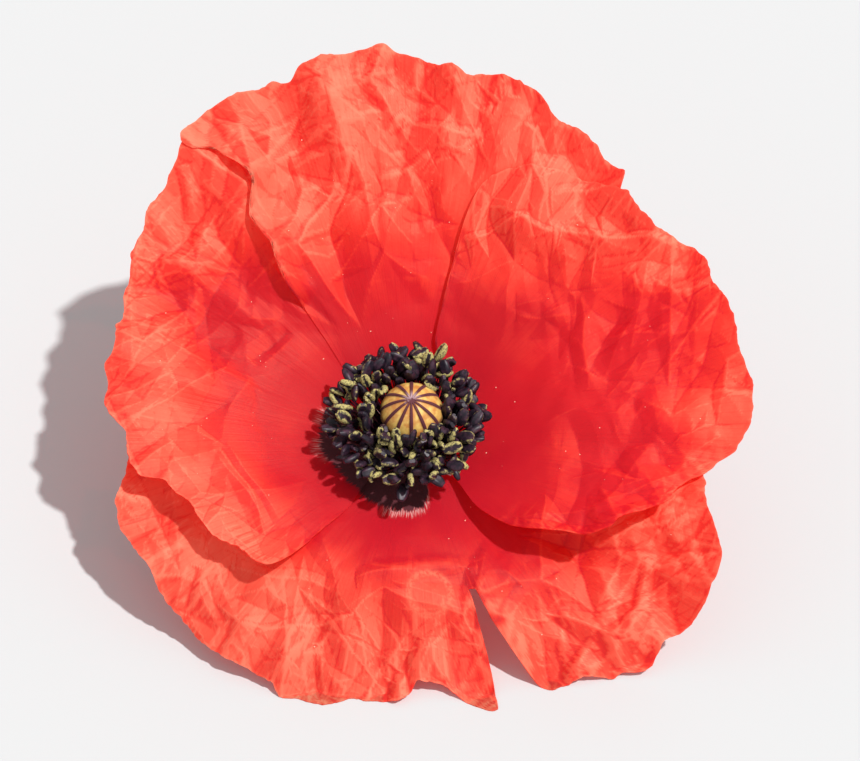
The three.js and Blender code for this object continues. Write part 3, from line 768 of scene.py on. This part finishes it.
def petalMaterial(name, fringeSpans):
    material, start = newMaterial(name)
    outward, around, azimuth, fromEdge = start.attributes("outward", "around", "azimuth", "fromEdge")
    crest, facing, pale, lift = start.attributes("crest", "facing", "pale", "lift")
    planX, planY = start.attributes("planX", "planY")
    plan = start.vector(planX, planY)

    veins = start.noise(start.vector(around * 1.9, outward * 0.035), 1.0, 2.0, 0.7, 0.1)
    cloud = start.noise(plan, 0.16, 2.0, 0.45)
    grain = start.noise(plan, 2.6, 2.0, 0.6)
    crinkle = abs(start.noise(plan, 0.75, 3.0, 0.55, 0.6) - 0.5)

    fade = (outward + (cloud - 0.5) * 10).between(8, 20)
    outer = outward.between(9, 20)
    # Painted light and shade: facets that slope towards the key light are painted paler, facets that slope
    # away are painted deeper red
    paintedSunwardShading = (facing.between(-0.35, 0.35) - 0.5) * outer
    lifted = lift.between(0, 1) * pale - lift.between(0, -1) * outer
    # Painted highlight and shade: the tops of creases are painted paler and the grooves between facets darker
    paintedCreaseShading = (crest.between(0.15, 0.7) - crest.between(-0.15, -0.7)) * outer
    tone = pale * 0.44 + (cloud - 0.5) * 0.26 + paintedSunwardShading * 0.26 + 0.29
    tone = tone + lifted + paintedCreaseShading * 0.15 + (grain - 0.5) * 0.1
    tone = tone - veins.between(0.5, 0.68) * 0.07 + fromEdge.between(0.35, 0.0) * 0.12
    tissue = start.node("ShaderNodeValToRGB", {"stops": petalFinish["tissue"]}, {"Fac": tone})
    colour = start.mix(fade, rgb(petalFinish["cup"]), tissue)

    # A pale ring, with a faint paler patch inside it, on the front petal
    spotX, spotY, spotRadius = petalFinish["paleSpot"]
    away = ((planX - spotX) ** 2.0 + (planY - spotY) ** 2.0) ** 0.5
    pastSpot = away - spotRadius
    ring = (pastSpot + (grain - 0.5) * 0.5).between(-0.55, 0.0) * pastSpot.between(0.6, 0.1)
    patch = away.between(spotRadius + 1.2, spotRadius - 0.4) * 0.25
    colour = start.mix(ring * grain.between(0.3, 0.6) * 0.55 + patch, colour, rgb(petalFinish["paleSpotTint"]))

    ragged = start.noise(start.vector(azimuth * 0.55, outward * 0.35), 1.0, 3.0, 0.7)
    pastBlotch = start.attribute("pastBlotch") + (ragged - 0.5) * 3.0
    blotch = pastBlotch.between(0.35, -0.35)
    colour = start.mix(blotch * 0.95, colour, rgb(petalFinish["blotch"]))
    hairline = start.noise(start.vector(azimuth * 1.5, outward * 0.4), 1.0, 2.0, 0.6)
    fringe = pastBlotch.between(-0.2, 0.25) * pastBlotch.between(1.3, 0.3) * hairline.between(0.44, 0.56)
    for spanFrom, spanTo in fringeSpans:
        inSpan = azimuth.between(spanFrom - 3, spanFrom + 3) * azimuth.between(spanTo + 3, spanTo - 3)
        colour = start.mix(fringe * inSpan, colour, rgb(petalFinish["fringe"]))

    roughness = 0.60 - fade * 0.16 + cloud * 0.12 + veins * 0.06 + blotch * 0.2
    height = veins * 0.4 + grain * 0.12 + crinkle * outer * 0.5
    normal = start.bump(height, 0.6, 0.0003)
    surface = start.principled({
        "Base Color": colour,
        "Roughness": roughness,
        "Normal": normal,
        "Specular IOR Level": 0.5,
        "Specular Tint": (1.0, 0.80, 0.55, 1.0),
        "Sheen Weight": 0.04,
        "Sheen Roughness": 0.4,
        "Sheen Tint": (1.0, 0.55, 0.45, 1.0),
    })
    through = start.node("ShaderNodeBsdfTranslucent", None, {"Color": rgb(petalFinish["through"])})
    tissueShare = (1 - blotch) * petalFinish["throughShare"]
    solid = start.shared(tissueShare, surface, through)
    clear = start.node("ShaderNodeBsdfTransparent", None, {"Color": rgb(petalFinish["clear"])})
    clearShare = (1 - blotch) * petalFinish["clearShare"]
    finishWith(start, start.shared(clearShare, solid, clear))
    return material


petalTops = {}
for petalName, form in petals.items():
    petalLook = petalMaterial(petalName + "_tissue", form["fringe"])
    petalTops[petalName] = petalMesh(petalName, form, petalLook)
    print("made", petalName, "with", petalTops[petalName].shape[:2], "points a face")


# The stamens.

stamenForm = {
    "ring": {"inner": 2.45, "outer": 3.9, "low": 1.45, "shoulder": 1.9, "high": 2.3},
    "ringBevel": 0.4,
    "ringSides": 64,
    "whorls": [
        {"count": 24, "root": 2.9, "radius": 5.0, "height": 10.2, "tilt": (5, 30), "swing": 150},
        {"count": 30, "root": 3.3, "radius": 6.2, "height": 9.9, "tilt": (15, 70), "swing": 100},
        {"count": 34, "root": 3.7, "radius": 7.6, "height": 8.9, "tilt": (35, 95), "swing": 80},
    ],
    "filling": [  # more of them between and under the first ones
        {"count": 34, "root": 2.9, "radius": 4.4, "height": 9.2, "tilt": (0, 50), "swing": 150},
        {"count": 40, "root": 3.2, "radius": 5.2, "height": 7.4, "tilt": (10, 80), "swing": 120},
        {"count": 44, "root": 3.5, "radius": 6.6, "height": 8.2, "tilt": (20, 90), "swing": 100},
        {"count": 48, "root": 3.7, "radius": 7.5, "height": 7.4, "tilt": (35, 110), "swing": 80},
    ],
    "near": [  # tall ones in front of the stigma disc
        {
            "count": 11, "root": 2.9, "radius": 4.3, "height": 10.9, "tilt": (0, 35), "swing": 150,
            "span": (222, 98),  # where they begin, and how far round they go
        },
    ],
    "rootHeight": 1.9,
    "spread": 0.9,
    "unevenness": 1.4,  # of their heights
    "antherLength": 2.15,
    "antherHalfWidth": 0.68,
    "antherHalfDepth": 0.5,
    "antherSides": 16,
    "antherRings": 8,
    "filamentHalfWidth": 0.1,
    "filamentSides": 6,
    "filamentPoints": 7,
}


def antherShape():  # two lobes side by side, along +Z, with a groove down each face
    sides, rings = stamenForm["antherSides"], stamenForm["antherRings"]
    turn = np.arange(sides) * 2 * math.pi / sides
    groove = 1 - 0.38 * np.exp(-((np.cos(turn) / 0.3) ** 2))
    vertices, edges = [], []
    for i in range(rings):
        t = i / (rings - 1)
        swell = max(0.10, math.sin(math.pi * (0.06 + 0.88 * t)) ** 0.42)
        bend = 0.10 * math.sin(math.pi * t)
        for k in range(sides):
            x = stamenForm["antherHalfWidth"] * swell * math.cos(turn[k])
            y = stamenForm["antherHalfDepth"] * swell * groove[k] * math.sin(turn[k])
            vertices.append((x, y + bend, t * stamenForm["antherLength"]))
            edges.append(abs(math.cos(turn[k])))
    return np.array(vertices), closedTube(rings, sides), np.array(edges)


def addStamens(gathered, seed, whorls):
    random = randomFrom(seed)
    anther, antherFaces, antherEdge = antherShape()
    for whorl in whorls:
        anywhere = 360 * random()
        first, sweep = whorl.get("span", (anywhere, 360))
        for k in range(whorl["count"]):
            azimuth = first + sweep * (k + 0.3 * (random() - 0.5)) / whorl["count"]
            radius = whorl["radius"] + stamenForm["spread"] * random()
            height = whorl["height"] + stamenForm["unevenness"] * (random() - 0.5)
            least, most = whorl["tilt"]
            tilt = math.radians(least + (most - least) * random())
            swing = azimuth + 2 * whorl["swing"] * (random() - 0.5)
            root = polar(azimuth, whorl["root"], stamenForm["rootHeight"])
            joint = polar(azimuth, radius, height)
            joint[0] -= 0.08 * radius
            direction = polar(swing, math.sin(tilt), math.cos(tilt))

            t = np.linspace(0, 1, stamenForm["filamentPoints"])[:, None]
            path = root + (joint - root) * t + np.array([0, 0, -0.5]) * np.sin(math.pi * t)
            width = stamenForm["filamentHalfWidth"] * np.linspace(1.3, 0.8, len(t))
            across = polar(azimuth + 90, 1, 0)
            tube, tubeFaces = tubeShape(path, width, width, stamenForm["filamentSides"], across)
            gathered.add(tube, tubeFaces, edge=0, dust=0, thread=1)

            side = across - direction * (across @ direction)
            side /= np.linalg.norm(side)
            twist = math.radians(360 * ((azimuth * 7.3) % 1))
            side = side * math.cos(twist) + np.cross(direction, side) * math.sin(twist)
            basis = np.stack([side, np.cross(direction, side), direction])
            size = 0.86 + 0.28 * ((azimuth * 3.7) % 1)
            dust = (azimuth * 5.9) % 1
            gathered.add(joint + anther * size @ basis, antherFaces, edge=antherEdge, dust=dust, thread=0)


stamenFinish = {
    "dark": (0.007, 0.004, 0.009),
    "violet": (0.040, 0.014, 0.026),
    "pollen": (0.34, 0.285, 0.100),
    "thread": (0.030, 0.005, 0.014),
}


def stamenMaterial():
    material, start = newMaterial("stamen_anthers")
    edge, dust, thread = start.attributes("edge", "dust", "thread")
    place = start.place()
    patchy = start.noise(place, 1400, 3.0, 0.6)
    grains = start.noise(place, 5200, 2.0, 0.5)
    pollen = (edge * 0.55 + patchy * 0.9 + dust * dust * 0.7).between(1.18, 1.36)
    colour = start.layered(
        rgb(stamenFinish["dark"]),
        stamenFinish,
        (patchy.between(0.4, 0.7), "violet"),
        (pollen * grains.between(0.25, 0.6), "pollen"),
        (thread, "thread"),
    )
    surface = start.principled({
        "Base Color": colour,
        "Roughness": 0.46 + pollen * 0.4,
        "Specular IOR Level": 0.3,
        "Normal": start.bump(grains, 0.5, 0.00004),
    })
    finishWith(start, surface)
    return material


def addRing(gathered):  # the ring that the filaments grow from
    form = stamenForm["ring"]
    section = [
        (form["inner"], form["low"]),
        (form["outer"], form["low"]),
        (form["outer"], form["shoulder"]),
        (form["outer"] - stamenForm["ringBevel"], form["high"]),
        (form["inner"], form["high"]),
    ]
    sides, corners = stamenForm["ringSides"], len(section)
    points = [polar(360 * k / sides, radius, height) for k in range(sides) for radius, height in section]
    faces = []
    for k in range(sides):
        here, after = k * corners, (k + 1) % sides * corners
        for j in range(corners):
            jNext = (j + 1) % corners
            faces.append((here + j, after + j, after + jNext, here + jNext))
    gathered.add(points, faces, edge=0, dust=0, thread=1)


stamens = Pieces("edge", "dust", "thread")
addRing(stamens)
addStamens(stamens, 23, stamenForm["whorls"])
addStamens(stamens, 31, stamenForm["filling"])
addStamens(stamens, 47, stamenForm["near"])
stamens.build("stamens", stamenMaterial(), "stamens")
print("made the stamens with", stamens.count, "points")


# The pistil: a ribbed ovary under a domed disc with a raised ray over each chamber.

pistilForm = {
    "rays": 12,
    "around": 192,
    "side": [(0.3, 1.7), (1.5, 2.15), (3.2, 2.4), (5.4, 2.65), (7.4, 2.7), (8.9, 2.4), (9.5, 2.5)],  # z, r
    "rim": [(3.04, 9.62, 0.6), (3.44, 9.72, 1), (3.6, 9.85, 1), (3.68, 10.02, 1)],  # r, z, share of disc
    "top": [(3.65, 10.2), (3.4, 10.8), (2.75, 11.7), (1.8, 12.5), (0.85, 13.0), (0.0, 13.2)],  # r, z
    "rayHalfWidth": 0.28,
    "rayRise": 0.24,
}


def pistilRings():  # (radius, height, part) up the ovary, round the disc's rim and in over its top
    sideAt = curveThrough(pistilForm["side"])
    rings = [(float(sideAt(z)), z, 0) for z in np.linspace(0.3, 9.5, 26)]
    rings += pistilForm["rim"]
    topAt = curveThrough(sorted(pistilForm["top"]))
    rings += [(r, float(topAt(r)), 1) for r in np.linspace(3.65, 0.12, 30)]
    return rings


def pistilShape():
    rays, around = pistilForm["rays"], pistilForm["around"]
    points, ray, disc, outward = [], [], [], []
    for radius, height, onDisc in pistilRings():
        for k in range(around):
            azimuth = 360 * k / around
            phase = (azimuth * rays / 360 + 0.5) % 1 - 0.5
            off = radius * math.sin(math.radians(abs(phase) * 360 / rays))
            lobe = math.sin(math.pi * abs(phase))
            width = pistilForm["rayHalfWidth"] * (0.45 + 0.55 * min(1, radius / 2.4))
            onRay = float(ease(1.0, 0.45, off / width)) * (1 if onDisc == 1 else 0)
            rib = 0.035 * math.cos(2 * math.pi * phase) * (1 - onDisc)
            widened = radius * (1 + (0.05 * lobe * onDisc if onDisc else rib))
            sag = 0.10 * lobe * onDisc * float(ease(0.5, 3.0, radius))
            rise = pistilForm["rayRise"] * onRay * float(ease(0.0, 1.0, radius) * 0.6 + 0.4)
            points.append(polar(azimuth, widened + 0.3 * rise, height + (rise if height > 10.1 else 0) - sag))
            ray.append(onRay)
            disc.append(onDisc)
            outward.append(radius)
    faces = closedTube(len(points) // around, around)
    return points, faces, {"ray": ray, "disc": disc, "outward": outward}


pistilFinish = {
    "disc": (0.39, 0.150, 0.030),
    "discLight": (0.55, 0.36, 0.092),
    "ray": (0.060, 0.005, 0.010),
    "paintedApexHighlight": (0.38, 0.25, 0.27),
    "rayEdge": (0.36, 0.14, 0.06),
    "ovary": (0.30, 0.36, 0.14),
}


def pistilMaterial():
    material, start = newMaterial("pistil_skin")
    ray, disc, outward = start.attributes("ray", "disc", "outward")
    apex = outward.between(1.5, 0.3)
    rim = outward.between(3.45, 3.62)
    place = start.place()
    patchy = start.noise(place, 900, 3.0, 0.55)
    grains = start.noise(place, 4200, 2.0, 0.6)
    colour = start.layered(
        rgb(pistilFinish["disc"]),
        pistilFinish,
        (patchy.between(0.35, 0.7), "discLight"),
        (ray.between(0.0, 0.3) * 0.5, "rayEdge"),
        ((ray + (grains - 0.5) * 0.3).between(0.3, 0.6), "ray"),
        # Painted highlight: pale lavender glints in patches round the apex of the disc
        (apex * patchy.between(0.4, 0.62) * 0.7, "paintedApexHighlight"),
        (rim * 0.75, "ray"),
        (disc.between(0.9, 0.4), "ovary"),
    )
    surface = start.principled({
        "Base Color": colour,
        "Roughness": 0.5 + ray * 0.3,
        "Normal": start.bump(grains * 0.6 + patchy, 0.4, 0.00006),
    })
    finishWith(start, surface)
    return material


pistil = Pieces("ray", "disc", "outward")
pistilPoints, pistilFaces, pistilValues = pistilShape()
pistil.add(pistilPoints, pistilFaces, **pistilValues)
pistil.build("pistil", pistilMaterial(), "pistil")
print("made the pistil")


# The stalk, with the receptacle at its head, a cut end and bristly hairs.

stalkForm = {
    "radius": 1.0,
    "end": (-1.4, 27, 1.0),  # on the ground
    "head": [(0, 4.1), (0.36, 4.3), (0.9, 3.8), (1.6, 1.7), (2.6, 1.0)],  # depth, radius
    "headDepth": 2.6,
    "headRings": 18,
    "bendFrom": 8.2,  # how far the curve is drawn on down the bloom's axis
    "bendTo": (12, 1.0),  # and how far back and how high it is drawn from the end
    "bendRings": 70,
    "sides": 28,
    "hairs": 420,
    "hairRadii": [0.045, 0.032, 0.01],
}


def stalkPath():  # points on the ground's frame in millimetres, and radii
    seat = np.array(bloomPlace["seat"])
    down = leanTurn @ np.array([0, 0, -1])
    end = np.array(stalkForm["end"])
    radiusAt = curveThrough(stalkForm["head"])
    depths = np.linspace(0, stalkForm["headDepth"], stalkForm["headRings"])[:-1]
    points = [seat + down * depth for depth in depths]
    radii = [float(radiusAt(depth)) for depth in depths]
    back, height = stalkForm["bendTo"]
    corners = [
        seat + down * stalkForm["headDepth"],
        seat + down * stalkForm["bendFrom"],
        np.array([seat[0], seat[1] + back, height]),
        end,
    ]
    for t in np.linspace(0, 1, stalkForm["bendRings"]):
        weights = [(1 - t) ** 3, 3 * t * (1 - t) ** 2, 3 * t * t * (1 - t), t**3]
        points.append(sum(w * corner for w, corner in zip(weights, corners)))
        radii.append(stalkForm["radius"])
    return np.array(points), np.array(radii)


def toBloom(points):  # the other way from toGround, in millimetres
    return (np.asarray(points) - bloomPlace["seat"]) @ leanTurn


def addStalk(gathered):
    points, radii = stalkPath()
    tube, tubeFaces = tubeShape(points, radii, radii, stalkForm["sides"], np.array([1.0, 0, 0]))
    tube[:, 2] = np.maximum(tube[:, 2], 0)
    ring = np.repeat(np.arange(len(points)), stalkForm["sides"])
    gathered.add(toBloom(tube), tubeFaces, hair=0, down=ring / len(points))

    random = randomFrom(5)
    along = np.gradient(points, axis=0)
    along /= np.linalg.norm(along, axis=1)[:, None]
    for _ in range(stalkForm["hairs"]):
        i = stalkForm["headRings"] + int(random() * (len(points) - stalkForm["headRings"] - 2))
        turn = 2 * math.pi * random()
        side = np.array([1.0, 0, 0])
        up = np.cross(along[i], side)
        outwards = side * math.cos(turn) + up * math.sin(turn)
        length = 0.9 + 1.5 * random()
        sweep = along[i] * 0.5 * (random() - 0.5)
        root = points[i] + outwards * (radii[i] - 0.08)
        tip = root + (outwards + sweep) * length
        if tip[2] < 0.08 or root[2] < 0.2:
            continue
        radiiOut = stalkForm["hairRadii"]
        path = [root, (root + tip) / 2, tip]
        bristle, bristleFaces = tubeShape(path, radiiOut, radiiOut, 3, along[i] + 0.01)
        gathered.add(toBloom(bristle), bristleFaces, hair=1, down=i / len(points))


stalkFinish = {
    "green": (0.17, 0.27, 0.055),
    "pale": (0.30, 0.38, 0.12),
    "flush": (0.20, 0.09, 0.05),
    "cut": (0.45, 0.50, 0.22),
    "hair": (0.42, 0.30, 0.16),
}


def stalkMaterial():
    material, start = newMaterial("stalk_skin")
    hair, down = start.attributes("hair", "down")
    place = start.place()
    streaks = start.noise(place, 700, 3.0, 0.6)
    grains = start.noise(place, 3000, 2.0, 0.5)
    colour = start.layered(
        rgb(stalkFinish["green"]),
        stalkFinish,
        (streaks.between(0.35, 0.7), "pale"),
        (down.between(0.34, 0.16) * 0.5, "flush"),
        (down.between(0.985, 0.99), "cut"),
        (hair, "hair"),
    )
    surface = start.principled({
        "Base Color": colour,
        "Roughness": 0.45 + streaks * 0.2,
        "Normal": start.bump(streaks + grains * 0.4, 0.35, 0.0001),
    })
    finishWith(start, surface)
    return material


stalk = Pieces("hair", "down")
addStalk(stalk)
stalk.build("stalk", stalkMaterial(), "stalk")
print("made the stalk with", stalk.count, "points")


# Loose pollen that has fallen on the petals.

pollenForm = {"tries": 130, "smallest": 0.035, "largest": 0.1, "from": 9}  # none nearer the middle than from
pollenFinish = {"dark": (0.60, 0.20, 0.15), "pale": (0.62, 0.38, 0.26)}


def addPollen(gathered):
    random = randomFrom(77)
    corners = np.array([(0, 0, 1), (1, 0, 0), (0, 1, 0), (-1, 0, 0), (0, -1, 0), (0, 0, -1)], float)
    faces = [(0, 1, 2), (0, 2, 3), (0, 3, 4), (0, 4, 1), (5, 2, 1), (5, 3, 2), (5, 4, 3), (5, 1, 4)]
    names = list(petalTops)
    for _ in range(pollenForm["tries"]):
        top = petalTops[names[int(random() * len(names))]]
        i = int((0.12 + 0.76 * random()) * top.shape[0])
        j = int(random() ** 1.5 * 0.8 * top.shape[1])
        centre = toBloom(top[i, j])
        size = pollenForm["smallest"] + (pollenForm["largest"] - pollenForm["smallest"]) * random() ** 2
        stretch = 0.8 + 0.5 * random()
        if math.hypot(centre[0], centre[1]) < pollenForm["from"]:
            continue
        shape = corners * size * np.array([stretch, 1, 0.6])
        gathered.add(centre + shape + np.array([0, 0, 0.3 * size]), faces)


def pollenMaterial():
    material, start = newMaterial("pollen_grains")
    place = start.place()
    shade = start.noise(place, 600, 2.0, 0.5)
    colour = start.mix(shade, rgb(pollenFinish["dark"]), rgb(pollenFinish["pale"]))
    finishWith(start, start.principled({"Base Color": colour, "Roughness": 0.8}))
    return material


pollen = Pieces()
addPollen(pollen)
pollen.build("pollen", pollenMaterial())
print("scattered the pollen")


# Floor, light and camera.

studio = {
    "floorHalf": 3.0,  # metres
    "floorColour": (0.378, 0.378, 0.376),
    "floorMottle": (0.35, 0.35, 0.35),
    "sky": (0.97, 0.98, 1.0),
    "skyStrength": 0.88,
    "sunStrength": 5.25,
    "sunSpread": math.radians(2),
    "sunFrom": (0.42, -0.225, 0.881),
    "lens": 121.6,
    "distance": 360,
    "elevation": math.radians(46),
    "look": (2.23, 8.12),  # from the receptacle to the middle of the view, along its right and its up
}


def makeFloor():
    mesh = bpy.data.meshes.new("floor")
    half = studio["floorHalf"]
    corners = [(-half, -half, 0), (half, -half, 0), (half, half, 0), (-half, half, 0)]
    mesh.from_pydata(corners, [], [(0, 1, 2, 3)])
    material, start = newMaterial("floor_paint")
    place = start.place()
    mottle = start.noise(place, 60, 2.0, 0.5)
    colour = start.mix(mottle * 0.05, rgb(studio["floorColour"]), rgb(studio["floorMottle"]))
    finishWith(start, start.principled({"Base Color": colour, "Roughness": 0.85}))
    mesh.materials.append(material)
    floor = bpy.data.objects.new("floor", mesh)
    bpy.context.scene.collection.objects.link(floor)


def makeLight():
    world = bpy.data.worlds.new("studio")
    world.use_nodes = True
    background = world.node_tree.nodes["Background"]
    background.inputs["Color"].default_value = rgb(studio["sky"])
    background.inputs["Strength"].default_value = studio["skyStrength"]
    bpy.context.scene.world = world
    lamp = bpy.data.lights.new("key", "SUN")
    lamp.energy = studio["sunStrength"]
    lamp.angle = studio["sunSpread"]
    key = bpy.data.objects.new("key", lamp)
    key.rotation_euler = Vector(studio["sunFrom"]).to_track_quat("Z", "Y").to_euler()
    bpy.context.scene.collection.objects.link(key)


def makeCamera():
    lens = bpy.data.cameras.new("camera")
    lens.lens = studio["lens"]
    lens.sensor_width = 36
    lens.clip_start = 0.01
    camera = bpy.data.objects.new("camera", lens)
    rise = studio["elevation"]
    right = Vector((1, 0, 0))
    up = Vector((0, math.sin(rise), math.cos(rise)))
    back = Vector((0, -math.cos(rise), math.sin(rise)))
    toRight, toUp = studio["look"]
    place = Vector(bloomPlace["seat"]) + toRight * right + toUp * up + studio["distance"] * back
    turn = Matrix((right, up, back)).transposed().to_4x4()
    camera.matrix_world = Matrix.Translation(place / 1000) @ turn
    bpy.context.scene.collection.objects.link(camera)
    bpy.context.scene.camera = camera


bpy.context.scene.view_settings.view_transform = "Standard"
makeFloor()
makeLight()
makeCamera()
print("set the studio")
